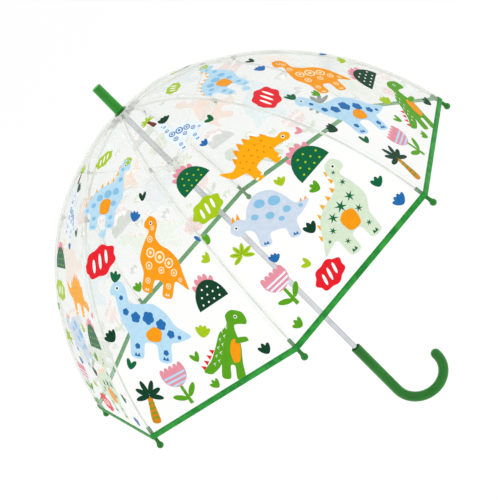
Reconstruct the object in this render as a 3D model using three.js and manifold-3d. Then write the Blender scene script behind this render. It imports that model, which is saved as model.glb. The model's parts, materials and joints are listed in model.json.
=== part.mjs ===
// Children's dome umbrella, open. Millimetres, +Z up along the shaft, ferrule at the top.
// The origin is on the shaft's axis, at the middle of the straight grip. The hook turns
// towards +X, and rib 1 points along +X. Ribs are numbered anticlockwise, seen from above.
import * as THREE from 'three';
import { mergeVertices } from 'three/addons/utils/BufferGeometryUtils.js';
import Module from 'manifold-3d';

const wasm = await Module();
wasm.setup();

// Driving dimensions
const RIBS = 8;
const SECTOR = (2 * Math.PI) / RIBS;
const GAP = 0.3; // running and assembly clearance
const CROWN_Z = 545; // plane of the rib hinges
const HINGE_R = 9.5; // crown wire's radius, where the ribs hang
const RIB_LENGTH = 470; // from the hinge to the middle of the rim binding
const FLEX_AT = RIB_LENGTH / 2;
const FLEX_GAP = 0.6; // half the gap between a rib's two halves
const SLOPES = [2, 45, 76.5].map(THREE.MathUtils.degToRad); // at the hinge, the flex point and the rim
const ROD_R = 1.4;
const FILM_HALF = 0.3;
const FILM_LIFT = 4.0; // film's mid-surface above the rib's centreline
const CROWN_LIFT = 5.1; // the same at the crown, where the film passes over the hub
const LIFT_RUN = 30; // length over which the lift settles
const FILM_HOLE_R = 4.8;
const BINDING_WIDTH = 8;
const BINDING_HALF = 0.8;
const SHAFT_R = 4;
const SHAFT_BORE_R = 3.3;
const SHAFT_TOP = CROWN_Z + 42;
const SHAFT_BOTTOM = -12;
const FERRULE_BASE = CROWN_Z + 6.9;
const FERRULE_TIP = CROWN_Z + 53;
const FERRULE_R = [7.4, 6.8]; // at the base and at the tip
const GRIP_R = 7.8;
const GRIP_TOP = 49.5;
const GRIP_BOTTOM = -49.5;
const HOOK_R = 40; // centreline of the hook
const HOOK_TAIL = 4; // straight stretch after the half turn
const RUNNER_Z = CROWN_Z - 100; // stretcher pivots, umbrella open
const RUNNER_PIVOT_R = 10;
const RUNNER_SLEEVE_R = 7.2;
const RUNNER_LENGTH = 42;
const STRETCHER_AT = 165; // along the rib
const PIVOT_DROP = 5; // stretcher pivot inside the rib's centreline
const CATCH_Z = [RUNNER_Z - RUNNER_LENGTH - 7, 200]; // middles of the top and bottom catch
const CATCH_HALF = 6; // half the height of a catch's nose
const CATCH_REACH = 5.8; // from the axis to the nose's tip

const COLOURS = {
  green: [0x2f9440, 0.38, 0],
  chrome: [0xb9bcc0, 0.16, 1],
  steel: [0xc9ccc8, 0.3, 1],
  rod: [0xdfe3de, 0.35, 0.2],
  white: [0xe6e8e4, 0.45, 0],
  film: [0xf2f4ef, 0.12, 0],
  tape: [0x2a9a48, 0.5, 0],
};

// Curves and solids

class PlaneCurve extends THREE.Curve {
  // A curve in the XZ plane given by a function of the length along it.
  constructor(at, start, end) {
    super();
    Object.assign(this, { at, start, end });
  }

  getPoint(t) {
    const [x, z] = this.at(this.start + t * (this.end - this.start));
    return new THREE.Vector3(x, 0, z);
  }
}

const disc = (radius, sides) => new THREE.Shape(
  Array.from({ length: sides }, (_, i) => {
    const a = (2 * Math.PI * (i + 0.5)) / sides;
    return new THREE.Vector2(radius * Math.cos(a), radius * Math.sin(a));
  }),
);

const rod = (curve, radius, sides, steps) => new THREE.ExtrudeGeometry(
  disc(radius, sides),
  { extrudePath: curve, steps, bevelEnabled: false },
);

const turned = (profile, segments) => new THREE.LatheGeometry(
  profile.map(([r, z]) => new THREE.Vector2(r, z)),
  segments,
).rotateX(Math.PI / 2);

// A ring, tube or closed round body from outline points [radius, height], anticlockwise.
const ring = (profile, segments = 24) => turned([...profile, profile[0]], segments);

const block = (x, y, z, width, depth, height) => new THREE.BoxGeometry(width, depth, height)
  .translate(x, y, z);

// A plate in the XZ plane, `thick` along Y, with round holes of a few sides.
function plate(outline, thick, holes = []) {
  const shape = new THREE.Shape(outline.map(([x, z]) => new THREE.Vector2(x, z)));
  for (const [x, z, radius] of holes) {
    const path = new THREE.Path(disc(radius, 10).getPoints().map((p) => p.add(new THREE.Vector2(x, z))));
    shape.holes.push(path);
  }
  return new THREE.ExtrudeGeometry(shape, { depth: thick, bevelEnabled: false })
    .translate(0, 0, -thick / 2)
    .rotateX(Math.PI / 2);
}

// Half-round end of an eye, from angle a to angle b about (x, z).
const arc = (x, z, radius, a, b, steps = 6) => Array.from({ length: steps + 1 }, (_, i) => {
  const t = a + ((b - a) * i) / steps;
  return [x + radius * Math.cos(t), z + radius * Math.sin(t)];
});

function solid(geometry) {
  const bare = geometry.clone();
  bare.deleteAttribute('normal');
  bare.deleteAttribute('uv');
  const merged = mergeVertices(bare, 1e-4);
  return new wasm.Manifold(new wasm.Mesh({
    numProp: 3,
    vertProperties: merged.attributes.position.array,
    triVerts: Uint32Array.from(merged.index.array),
  }));
}

function combine(base, joined = [], cuts = []) {
  let result = solid(base);
  for (const g of joined) result = result.add(solid(g));
  for (const g of cuts) result = result.subtract(solid(g));
  const mesh = result.getMesh();
  const geometry = new THREE.BufferGeometry();
  geometry.setAttribute('position', new THREE.BufferAttribute(new Float32Array(mesh.vertProperties), 3));
  geometry.setIndex(new THREE.BufferAttribute(new Uint32Array(mesh.triVerts), 1));
  return geometry;
}

const umbrella = new THREE.Group();

function piece(name, geometry, colour, turn = 0) {
  const [color, roughness, metalness] = COLOURS[colour];
  const mesh = new THREE.Mesh(geometry, new THREE.MeshStandardMaterial({ color, roughness, metalness }));
  mesh.name = name;
  mesh.rotation.z = turn;
  umbrella.add(mesh);
}

// Rib centreline: two arcs, then straight on past the rim

const BENDS = [0, 1].map((i) => (SLOPES[i + 1] - SLOPES[i]) / FLEX_AT);

function onArc(start, slope, bend, run) {
  const end = slope + bend * run;
  return {
    x: start.x + (Math.sin(end) - Math.sin(slope)) / bend,
    z: start.z + (Math.cos(end) - Math.cos(slope)) / bend,
    slope: end,
  };
}

const HINGE = { x: HINGE_R, z: CROWN_Z, slope: SLOPES[0] };
const FLEX = onArc(HINGE, SLOPES[0], BENDS[0], FLEX_AT);
const RIM = onArc(FLEX, SLOPES[1], BENDS[1], FLEX_AT);

function ribAt(s) {
  if (s <= FLEX_AT) return onArc(HINGE, SLOPES[0], BENDS[0], s);
  if (s <= RIB_LENGTH) return onArc(FLEX, SLOPES[1], BENDS[1], s - FLEX_AT);
  const past = s - RIB_LENGTH;
  return { x: RIM.x + past * Math.cos(RIM.slope), z: RIM.z - past * Math.sin(RIM.slope), slope: RIM.slope };
}

// The point `lift` outside the rib's centreline; a negative lift is inside it.
function besideRib(s, lift) {
  const { x, z, slope } = ribAt(s);
  return [x + lift * Math.sin(slope), z + lift * Math.cos(slope)];
}

// Ribs, stretchers and tips

const STRETCHER_PIVOT = besideRib(STRETCHER_AT, -PIVOT_DROP);

function innerRib() {
  const reach = 2.6;
  const lug = plate(
    [...arc(HINGE_R, CROWN_Z, reach, Math.PI / 2, (3 * Math.PI) / 2), [16, CROWN_Z - 1.8], [16, CROWN_Z + 1]],
    2.2,
    [[HINGE_R, CROWN_Z, 0.95]],
  );
  const { slope } = ribAt(STRETCHER_AT);
  const ear = plate([...arc(0, 0, 2, Math.PI, 2 * Math.PI), [2, PIVOT_DROP], [-2, PIVOT_DROP]], 1.6, [[0, 0, 1]])
    .rotateY(slope)
    .translate(STRETCHER_PIVOT[0], 0, STRETCHER_PIVOT[1]);
  const wire = rod(new PlaneCurve((s) => besideRib(s, 0), 5, FLEX_AT - FLEX_GAP), ROD_R, 8, 9);
  return combine(wire, [lug, ear]);
}

const outerRib = () => rod(
  new PlaneCurve((s) => besideRib(s, 0), FLEX_AT + FLEX_GAP, RIB_LENGTH + 6),
  ROD_R,
  8,
  8,
);

// A stretcher from its rib pivot at x = 0 to its runner eye at x = length, then set in place.
function stretcher() {
  const [x0, z0] = STRETCHER_PIVOT;
  const dx = RUNNER_PIVOT_R - x0;
  const dz = RUNNER_Z - z0;
  const length = Math.hypot(dx, dz);
  const fork = plate([...arc(0, 0, 1.7, Math.PI / 2, (3 * Math.PI) / 2), [13, -1.7], [13, 1.7]], 4.2);
  const slot = block(2.5, 0, 0, 11, 2.2, 5);
  const eye = plate(
    [...arc(length, 0, 1.7, -Math.PI / 2, Math.PI / 2), [length - 5, 1.1], [length - 5, -1.1]],
    2.2,
    [[length, 0, 0.8]],
  );
  const rivet = new THREE.CylinderGeometry(0.7, 0.7, 3, 10);
  const bar = rod(new PlaneCurve((s) => [s, 0], 10, length - 3), 1.2, 8, 1);
  return combine(combine(fork, [bar, eye], [slot]), [rivet])
    .rotateY(-Math.atan2(dz, dx))
    .translate(x0, 0, z0);
}

function tip() {
  const ballR = 4.7;
  const ballAt = 15.4;
  const start = -14;
  const neck = 2.6;
  const from = Math.asin(neck / ballR);
  const ball = arc(0, ballAt, ballR, -Math.PI / 2 + from, Math.PI / 2, 5).map(([r, z]) => [Math.max(r, 0), z]);
  const profile = [[0, 7], [1.9, 7], [1.9, start], [neck, start], ...ball];
  profile[profile.length - 1][0] = 0;
  return turned(profile, 10)
    .rotateY(Math.PI / 2 + RIM.slope)
    .translate(RIM.x, 0, RIM.z);
}

// Film and binding

const flatBetweenRibs = (angle) => Math.cos(SECTOR / 2) / Math.cos(SECTOR / 2 - Math.abs(angle));

// The point on a sector of the dome at length s along its rib and `across` from -1 to 1.
function onSector(s, across, thickness) {
  const near = Math.max(0, 1 - Math.max(s, 0) / LIFT_RUN);
  const lift = FILM_LIFT + (CROWN_LIFT - FILM_LIFT) * near * near + thickness;
  const [x, z] = s < 0 ? [HINGE_R + s, CROWN_Z + lift] : besideRib(s, lift);
  const angle = across * (SECTOR / 2 - 0.2 / x);
  const r = x * flatBetweenRibs(angle);
  return [r * Math.cos(angle), r * Math.sin(angle), z];
}

// A closed sheet over lengths `along` and positions `acrosses`, `half` thick each way.
function sheet(along, acrosses, half) {
  const position = [];
  const index = [];
  const columns = acrosses.length;
  const layer = along.length * columns;
  for (const side of [half, -half]) {
    for (const s of along) for (const v of acrosses) position.push(...onSector(s, v, side));
  }
  const quad = (a, b, c, d) => index.push(a, b, c, a, c, d);
  for (let i = 0; i + 1 < along.length; i++) {
    for (let j = 0; j + 1 < columns; j++) {
      const a = i * columns + j;
      const b = a + columns;
      quad(a, b, b + 1, a + 1);
      quad(layer + a, layer + a + 1, layer + b + 1, layer + b);
    }
    for (const [j, flip] of [[0, false], [columns - 1, true]]) {
      const a = i * columns + j;
      const b = a + columns;
      if (flip) quad(a, b, layer + b, layer + a);
      else quad(a, layer + a, layer + b, b);
    }
  }
  for (let j = 0; j + 1 < columns; j++) {
    const end = layer - columns;
    quad(j, j + 1, layer + j + 1, layer + j);
    quad(end + j, layer + end + j, layer + end + j + 1, end + j + 1);
  }
  const geometry = new THREE.BufferGeometry();
  geometry.setAttribute('position', new THREE.Float32BufferAttribute(position, 3));
  geometry.setIndex(index);
  return geometry;
}

const evenly = (from, to, steps) => Array.from({ length: steps + 1 }, (_, i) => from + ((to - from) * i) / steps);

const FILM_END = RIB_LENGTH - BINDING_WIDTH / 2 - GAP;
const filmSector = () => sheet(
  [FILM_HOLE_R - HINGE_R, 0, ...evenly(15, FILM_END, 10)],
  [-1, 0, 1],
  FILM_HALF,
);
const bindingSector = () => sheet(
  [RIB_LENGTH - BINDING_WIDTH / 2, RIB_LENGTH + BINDING_WIDTH / 2],
  [-1, 0, 1],
  BINDING_HALF,
);

// Hub, shaft and handle

const spokes = (make) => Array.from({ length: RIBS }, (_, i) => make().rotateZ(i * SECTOR));

function crown() {
  const body = ring([[4.3, -6], [12, -6], [12, 4.4], [4.3, 4.4]], 32).translate(0, 0, CROWN_Z);
  const slots = spokes(() => block(11.5, 0, CROWN_Z - 2.5, 9.4, 3, 10.9));
  const groove = new THREE.TorusGeometry(HINGE_R, 0.85, 6, 24).translate(0, 0, CROWN_Z);
  return combine(body, [], [...slots, groove]);
}

const crownWire = () => new THREE.TorusGeometry(HINGE_R, 0.5, 6, 24).translate(0, 0, CROWN_Z);

const washer = () => ring([[4.4, 5.75], [9.6, 5.75], [10.2, 6.1], [9.2, 6.6], [4.4, 6.6]])
  .translate(0, 0, CROWN_Z);

const ferrule = () => turned(
  [
    [0, SHAFT_TOP + GAP], [SHAFT_R + GAP, SHAFT_TOP + GAP], [SHAFT_R + GAP, FERRULE_BASE],
    [FERRULE_R[0], FERRULE_BASE], [FERRULE_R[1], FERRULE_TIP - 0.6],
    [FERRULE_R[1] - 0.6, FERRULE_TIP], [0, FERRULE_TIP],
  ],
  24,
);

const catchSlot = (z) => block(0, 4.5, z, 2.8, 7, 2 * CATCH_HALF + 2 * GAP);

function shaft() {
  const tube = ring(
    [[SHAFT_BORE_R, SHAFT_BOTTOM], [SHAFT_R, SHAFT_BOTTOM], [SHAFT_R, SHAFT_TOP], [SHAFT_BORE_R, SHAFT_TOP]],
  );
  return combine(tube, [], CATCH_Z.map(catchSlot));
}

// A spring catch: a leaf inside the tube with a wedge nose that stands out through the slot.
const springCatch = (z) => plate(
  [
    [1.2, -10], [2.7, -10], [2.7, -CATCH_HALF], [SHAFT_R, -CATCH_HALF],
    [CATCH_REACH, CATCH_HALF - 2], [CATCH_REACH, CATCH_HALF], [2.7, CATCH_HALF], [2.7, 10], [1.2, 10],
  ],
  2.2,
).rotateZ(Math.PI / 2).translate(0, 0, z);

function runner() {
  const bottom = -RUNNER_LENGTH;
  const body = ring(
    [
      [4.3, bottom], [8.4, bottom], [8.4, bottom + 5], [RUNNER_SLEEVE_R, bottom + 7],
      [RUNNER_SLEEVE_R, -4], [12.5, -4], [12.5, 4], [6.6, 4], [4.3, 4],
    ],
    32,
  ).translate(0, 0, RUNNER_Z);
  const slots = spokes(() => block(12.7, 0, RUNNER_Z, 10, 3, 12));
  const keyway = block(0, 5.2, RUNNER_Z - 19, 3.2, 2.4, 60);
  return combine(body, [], [...slots, keyway]);
}

const HOOK_TURN = Math.PI * HOOK_R;
const STRAIGHT = GRIP_TOP - GRIP_BOTTOM;

function hookAt(s) {
  if (s <= STRAIGHT) return [0, GRIP_TOP - s];
  const turn = Math.min((s - STRAIGHT) / HOOK_R, Math.PI);
  const past = Math.max(0, s - STRAIGHT - HOOK_TURN);
  return [HOOK_R * (1 - Math.cos(turn)), GRIP_BOTTOM - HOOK_R * Math.sin(turn) + past];
}

function handle() {
  const length = STRAIGHT + HOOK_TURN + HOOK_TAIL;
  const bar = rod(new PlaneCurve(hookAt, 0, length), GRIP_R, 12, 34);
  const end = new THREE.SphereGeometry(GRIP_R * 0.985, 12, 8)
    .rotateX(Math.PI / 2)
    .translate(2 * HOOK_R, 0, GRIP_BOTTOM + HOOK_TAIL);
  const socket = ring([[0, -13], [4.3, -13], [4.3, GRIP_TOP - 6], [6, GRIP_TOP - 6], [6, 60], [0, 60]], 24);
  return combine(bar, [end], [socket]);
}

piece('shaft', shaft(), 'chrome');
piece('ferrule', ferrule(), 'green');
piece('canopy_washer', washer(), 'green');
piece('crown', crown(), 'white');
piece('crown_wire', crownWire(), 'steel');
piece('handle', handle(), 'green');
piece('runner', runner(), 'white');
piece('top_catch', springCatch(CATCH_Z[0]), 'steel');
piece('bottom_catch', springCatch(CATCH_Z[1]), 'steel');

for (let i = 0; i < RIBS; i++) {
  const turn = i * SECTOR;
  const number = i + 1;
  piece(`rib_${number}_inner`, innerRib(), 'rod', turn);
  piece(`rib_${number}_outer`, outerRib(), 'rod', turn);
  piece(`stretcher_${number}`, stretcher(), 'steel', turn);
  piece(`rib_tip_${number}`, tip(), 'green', turn);
  piece(`canopy_${number}`, filmSector(), 'film', turn);
  piece(`binding_${number}`, bindingSector(), 'tape', turn);
}

export default umbrella;
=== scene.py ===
"""Looks of the children's dome umbrella: clear printed film, bound rim, ribs, hub, shaft and handle."""
import json
import math

import bmesh
import bpy
from mathutils import Matrix, Vector


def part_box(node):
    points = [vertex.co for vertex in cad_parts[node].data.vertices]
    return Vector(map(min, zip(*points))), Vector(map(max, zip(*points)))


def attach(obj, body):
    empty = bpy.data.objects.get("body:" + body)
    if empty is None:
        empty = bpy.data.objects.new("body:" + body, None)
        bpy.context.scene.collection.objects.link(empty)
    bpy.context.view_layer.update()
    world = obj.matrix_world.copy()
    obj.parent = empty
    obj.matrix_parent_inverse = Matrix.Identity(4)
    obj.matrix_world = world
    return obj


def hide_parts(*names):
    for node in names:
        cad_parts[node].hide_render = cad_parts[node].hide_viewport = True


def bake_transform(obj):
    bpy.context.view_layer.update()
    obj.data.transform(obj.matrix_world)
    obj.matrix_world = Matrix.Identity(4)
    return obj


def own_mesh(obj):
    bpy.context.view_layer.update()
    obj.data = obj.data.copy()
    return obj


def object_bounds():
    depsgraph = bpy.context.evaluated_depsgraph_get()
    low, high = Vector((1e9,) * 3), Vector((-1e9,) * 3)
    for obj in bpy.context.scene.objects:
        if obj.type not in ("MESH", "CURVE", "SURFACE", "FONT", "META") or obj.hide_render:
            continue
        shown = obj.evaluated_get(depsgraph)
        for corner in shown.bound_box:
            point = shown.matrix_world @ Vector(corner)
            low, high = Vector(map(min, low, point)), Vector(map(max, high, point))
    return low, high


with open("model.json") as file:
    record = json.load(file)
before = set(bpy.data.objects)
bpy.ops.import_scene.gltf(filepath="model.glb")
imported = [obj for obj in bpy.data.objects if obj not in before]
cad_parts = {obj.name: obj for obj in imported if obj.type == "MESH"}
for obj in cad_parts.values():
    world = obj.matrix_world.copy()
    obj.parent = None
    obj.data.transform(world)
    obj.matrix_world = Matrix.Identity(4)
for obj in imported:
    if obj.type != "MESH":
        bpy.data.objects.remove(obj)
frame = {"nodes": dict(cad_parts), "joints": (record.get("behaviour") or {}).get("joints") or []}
cad_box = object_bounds()

# Driving values. Places come from the frame's joints; lengths are in metres.
MM = 0.001
RIBS = 8
STEP = 2 * math.pi / RIBS
HALF = STEP / 2
SLOPES = [math.radians(a) for a in (2, 45, 76.5)]  # rib's slope at the hinge, the flex point and the rim
RIB_LENGTH = 470 * MM
FLEX_AT = RIB_LENGTH / 2
BENDS = [(SLOPES[i + 1] - SLOPES[i]) / FLEX_AT for i in (0, 1)]
FILM_LIFT = 4.0 * MM
CROWN_LIFT = 5.1 * MM
LIFT_RUN = 30 * MM
FILM_START = -4.6 * MM  # film's inner edge, measured along the rib from its hinge
BINDING_WIDTH = 8 * MM
ROD_R = 1.4 * MM
GRIP_R = 7.8 * MM
HOOK_R = 40 * MM
PRINT_LIFT = 0.22 * MM
LAYER_LIFT = 0.07 * MM
CREASE = math.radians(32)

joints = {j["name"]: j for j in frame["joints"]}
hinge = Vector(joints["rib_1_fold"]["pos_m"])
pivot = Vector(joints["stretcher_1_hinge"]["pos_m"])
flex = Vector(joints["rib_1_flex"]["pos_m"])
CROWN_Z = hinge.z

# ---------------------------------------------------------------- rib profile


def on_arc(start, slope, bend, run):
    end = slope + bend * run
    x = start[0] + (math.sin(end) - math.sin(slope)) / bend
    return x, start[1] + (math.cos(end) - math.cos(slope)) / bend, end


def rib_at(s):
    """Radius, height and slope of the rib's centreline at length s from its hinge."""
    if s < 0:
        return hinge.x + s, hinge.z, SLOPES[0]
    if s <= FLEX_AT:
        return on_arc((hinge.x, hinge.z), SLOPES[0], BENDS[0], s)
    middle = on_arc((hinge.x, hinge.z), SLOPES[0], BENDS[0], FLEX_AT)
    if s <= RIB_LENGTH:
        return on_arc(middle[:2], SLOPES[1], BENDS[1], s - FLEX_AT)
    x, z, slope = on_arc(middle[:2], SLOPES[1], BENDS[1], FLEX_AT)
    past = s - RIB_LENGTH
    return x + past * math.cos(slope), z - past * math.sin(slope), slope


def beside_rib(s, lift):
    x, z, slope = rib_at(s)
    return x + lift * math.sin(slope), z + lift * math.cos(slope)


def film_lift(s):
    near = max(0.0, 1 - max(s, 0) / LIFT_RUN)
    return FILM_LIFT + (CROWN_LIFT - FILM_LIFT) * near * near


def panel_point(s, v, middle, lift=0.0):
    """A point of a panel that is flat across: v is how far it is from the panel's middle line."""
    if s < 0:
        x, z = hinge.x + s, hinge.z + film_lift(s) + lift
    else:
        x, z = beside_rib(s, film_lift(s) + lift)
    rho, c, d = x * math.cos(HALF), math.cos(middle), math.sin(middle)
    return Vector((rho * c - v * d, rho * d + v * c, z))


def half_width(s):
    return (beside_rib(s, film_lift(s))[0] if s >= 0 else hinge.x + s) * math.sin(HALF)


# ---------------------------------------------------------------- mesh helpers


def mesh_object(name, bm, materials, smooth=True):
    mesh = bpy.data.meshes.new(name)
    bm.to_mesh(mesh)
    bm.free()
    for m in materials:
        mesh.materials.append(m)
    for p in mesh.polygons:
        p.use_smooth = smooth
    if smooth:
        mesh.set_sharp_from_angle(angle=CREASE)
    obj = bpy.data.objects.new(name, mesh)
    bpy.context.scene.collection.objects.link(obj)
    return obj


def copy_turned(obj, name, index):
    """A copy of rib 1's piece, turned about the shaft to another rib, with its place in its mesh."""
    mesh = obj.data.copy()
    mesh.transform(Matrix.Rotation(index * STEP, 4, "Z"))
    made = bpy.data.objects.new(name, mesh)
    bpy.context.scene.collection.objects.link(made)
    return made


def drop(obj):
    bpy.data.objects.remove(obj)


def loft(bm, rings, close=True, cap=True, material=0):
    """Joins rings of points into a skin. Each ring has the same number of points."""
    rows = [[bm.verts.new(p) for p in r] for r in rings]
    count = len(rows[0])
    for a, b in zip(rows, rows[1:]):
        for i in range(count if close else count - 1):
            j = (i + 1) % count
            bm.faces.new((a[i], a[j], b[j], b[i])).material_index = material
    if cap and close:
        bm.faces.new(reversed(rows[0])).material_index = material
        bm.faces.new(rows[-1]).material_index = material
    return rows


def lathe(name, profile, material, sides=64):
    """A closed turned body from a closed outline of (radius, height) points."""
    bm = bmesh.new()
    rings = []
    for k in range(sides):
        a = 2 * math.pi * k / sides
        rings.append([Vector((r * math.cos(a), r * math.sin(a), z)) for r, z in profile])
    rings.append(rings[0])
    loft(bm, rings, close=True, cap=False)
    bmesh.ops.remove_doubles(bm, verts=bm.verts, dist=1e-7)
    bmesh.ops.recalc_face_normals(bm, faces=bm.faces)
    return mesh_object(name, bm, [material])


def sweep_rings(points, normals, radius, sides):
    """Rings round a path in the XZ plane. normals are the in-plane unit normals."""
    out = []
    for i, (p, n) in enumerate(zip(points, normals)):
        r = radius(i) if callable(radius) else radius
        ring = []
        for k in range(sides):
            a = 2 * math.pi * k / sides
            ring.append(p + n * (r * math.cos(a)) + Vector((0, 1, 0)) * (r * math.sin(a)))
        out.append(ring)
    return out


def box(bm, centre, size, turn=None):
    made = bmesh.ops.create_cube(bm, size=1.0)["verts"]
    bmesh.ops.scale(bm, vec=size, verts=made)
    if turn is not None:
        bmesh.ops.rotate(bm, matrix=turn, cent=(0, 0, 0), verts=made)
    bmesh.ops.translate(bm, vec=centre, verts=made)
    return made


def cut_boxes(obj, boxes):
    """Cuts boxes, each (centre, size, turn about Z), out of obj and keeps its material."""
    bm = bmesh.new()
    for centre, size, angle in boxes:
        spin = Matrix.Rotation(angle, 3, "Z")
        box(bm, spin @ Vector(centre), size, spin)
    cutter = mesh_object("cutter", bm, [], smooth=False)
    mod = obj.modifiers.new("cut", "BOOLEAN")
    mod.operation, mod.object, mod.solver = "DIFFERENCE", cutter, "EXACT"
    mod.use_self = True
    bake_modifiers(obj)
    drop(cutter)


def bake_modifiers(obj):
    graph = bpy.context.evaluated_depsgraph_get()
    mesh = bpy.data.meshes.new_from_object(obj.evaluated_get(graph), depsgraph=graph)
    obj.modifiers.clear()
    mesh.set_sharp_from_angle(angle=CREASE)
    obj.data = mesh


def soften(obj, width, segments=2):
    bevel = obj.modifiers.new("edges", "BEVEL")
    bevel.width, bevel.segments = width, segments
    bevel.limit_method, bevel.angle_limit = "ANGLE", math.radians(35)
    bevel.harden_normals = True
    return obj


# ---------------------------------------------------------------- materials


def linear(rgb):
    return tuple(((c / 255 + 0.055) / 1.055) ** 2.4 if c > 10 else c / 255 / 12.92 for c in rgb) + (1.0,)


def shader(name, **sockets):
    mat = bpy.data.materials.new(name)
    mat.use_nodes = True
    tree = mat.node_tree
    bsdf = tree.nodes["Principled BSDF"]
    for key, value in sockets.items():
        bsdf.inputs[key.replace("_", " ")].default_value = value
    return mat, tree, bsdf


def noise(tree, scale, detail=3.0, rough=0.5, stretch=None):
    """Noise over the object's own coordinates, optionally stretched along an axis."""
    coords = tree.nodes.new("ShaderNodeTexCoord")
    tex = tree.nodes.new("ShaderNodeTexNoise")
    tex.inputs["Scale"].default_value = scale
    tex.inputs["Detail"].default_value = detail
    tex.inputs["Roughness"].default_value = rough
    source = coords.outputs["Object"]
    if stretch:
        mapping = tree.nodes.new("ShaderNodeMapping")
        mapping.inputs["Scale"].default_value = stretch
        tree.links.new(source, mapping.inputs["Vector"])
        source = mapping.outputs["Vector"]
    tree.links.new(source, tex.inputs["Vector"])
    return tex.outputs["Fac"]


def ramp(tree, fac, low, high, start=0.35, end=0.65):
    node = tree.nodes.new("ShaderNodeValToRGB")
    node.color_ramp.elements[0].position, node.color_ramp.elements[0].color = start, low
    node.color_ramp.elements[1].position, node.color_ramp.elements[1].color = end, high
    tree.links.new(fac, node.inputs["Fac"])
    return node.outputs["Color"]


def span(tree, fac, low, high):
    node = tree.nodes.new("ShaderNodeMapRange")
    node.inputs["To Min"].default_value, node.inputs["To Max"].default_value = low, high
    tree.links.new(fac, node.inputs["Value"])
    return node.outputs["Result"]


def bump(tree, bsdf, height, strength, distance):
    node = tree.nodes.new("ShaderNodeBump")
    node.inputs["Strength"].default_value = strength
    node.inputs["Distance"].default_value = distance
    tree.links.new(height, node.inputs["Height"])
    tree.links.new(node.outputs["Normal"], bsdf.inputs["Normal"])


def shade(rgb, share):
    return tuple(max(0, min(255, c * share)) for c in rgb)


def plastic(name, rgb, rough=0.32, grain=900.0, variation=0.05, rim=1.15):
    """Moulded plastic: slight mottling, a fine orange-peel skin, uneven gloss, and lighter edges with a
    darker middle by viewing angle, a painted highlight and painted shade.
    """
    mat, tree, bsdf = shader(name, Coat_Weight=0.08, Coat_Roughness=0.15, Specular_IOR_Level=0.3)
    mottled = noise(tree, 35.0, 4.0)
    # painted highlight and shade: by viewing angle, the edges get a lighter copy of the colour (times rim)
    # and the face-on middle a darker one (times 2 - rim)
    weight = tree.nodes.new("ShaderNodeLayerWeight")
    weight.inputs["Blend"].default_value = 0.4
    mix = tree.nodes.new("ShaderNodeMixRGB")
    tree.links.new(weight.outputs["Facing"], mix.inputs["Fac"])
    for socket, share in (("Color1", 2 - rim), ("Color2", rim)):
        low, high = shade(rgb, share * (1 - variation)), shade(rgb, share * (1 + variation))
        tree.links.new(ramp(tree, mottled, linear(low), linear(high)), mix.inputs[socket])
    tree.links.new(mix.outputs["Color"], bsdf.inputs["Base Color"])
    tree.links.new(span(tree, noise(tree, 120.0), rough - 0.06, rough + 0.08), bsdf.inputs["Roughness"])
    bump(tree, bsdf, noise(tree, grain, 2.0), 0.12, 0.0002)
    return mat


def metal(name, rgb, rough, stretch=(1, 1, 0.05)):
    """Plated metal: bright face on and darker at its edges, a painted shade in place of reflection, with
    fine draw lines and slight tarnish.
    """
    mat, tree, bsdf = shader(name, Metallic=1.0)
    weight = tree.nodes.new("ShaderNodeLayerWeight")
    weight.inputs["Blend"].default_value = 0.35
    # painted shade: the colour darkens towards the edges by viewing angle, standing in for reflected shade
    painted_edge_shade = ramp(tree, weight.outputs["Facing"], linear(rgb), linear(shade(rgb, 0.42)), 0.2, 0.85)
    tarnish = ramp(tree, noise(tree, 60.0, 5.0), linear((236, 236, 236)), linear((255, 255, 255)))
    mix = tree.nodes.new("ShaderNodeMixRGB")
    mix.blend_type = "MULTIPLY"
    mix.inputs["Fac"].default_value = 1.0
    tree.links.new(painted_edge_shade, mix.inputs["Color1"])
    tree.links.new(tarnish, mix.inputs["Color2"])
    tree.links.new(mix.outputs["Color"], bsdf.inputs["Base Color"])
    lines = noise(tree, 900.0, 2.0, stretch=stretch)
    tree.links.new(span(tree, lines, rough * 0.8, rough * 1.3), bsdf.inputs["Roughness"])
    return mat


def film_material():
    """Clear vinyl: nearly invisible face on, milky grey-green where it turns away, with soft waves."""
    mat, tree, bsdf = shader("clear_film", Roughness=0.12, IOR=1.5, Specular_IOR_Level=0.6)
    weight = tree.nodes.new("ShaderNodeLayerWeight")
    weight.inputs["Blend"].default_value = 0.5
    curve = tree.nodes.new("ShaderNodeMapRange")
    curve.interpolation_type = "SMOOTHSTEP"
    curve.inputs["From Min"].default_value, curve.inputs["From Max"].default_value = 0.12, 1.0
    curve.inputs["To Min"].default_value, curve.inputs["To Max"].default_value = 0.18, 0.44
    tree.links.new(weight.outputs["Facing"], curve.inputs["Value"])
    tree.links.new(curve.outputs["Result"], bsdf.inputs["Alpha"])
    tree.links.new(
        ramp(tree, noise(tree, 9.0, 3.0), linear((209, 213, 206)), linear((229, 232, 226)), 0.3, 0.7),
        bsdf.inputs["Base Color"],
    )
    bump(tree, bsdf, noise(tree, 14.0, 2.5, 0.45), 0.35, 0.012)
    return mat


def weld_material():
    """Heat-welded seam: the same film pressed into a fine ridge."""
    mat, tree, bsdf = shader("weld_seam", Roughness=0.3, Alpha=0.42)
    colour = ramp(tree, noise(tree, 40.0), linear((192, 198, 190)), linear((216, 220, 213)))
    tree.links.new(colour, bsdf.inputs["Base Color"])
    bump(tree, bsdf, noise(tree, 260.0), 0.25, 0.0003)
    return mat


def ink_material(name, rgb):
    """Screen-printed ink: slightly uneven cover, satin, a little raised grain."""
    mat, tree, bsdf = shader("ink_" + name, Specular_IOR_Level=0.1)
    tree.links.new(
        ramp(tree, noise(tree, 160.0, 6.0, 0.7), linear(shade(rgb, 0.97)), linear(shade(rgb, 1.02))),
        bsdf.inputs["Base Color"],
    )
    tree.links.new(span(tree, noise(tree, 300.0), 0.3, 0.5), bsdf.inputs["Roughness"])
    return mat


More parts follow.
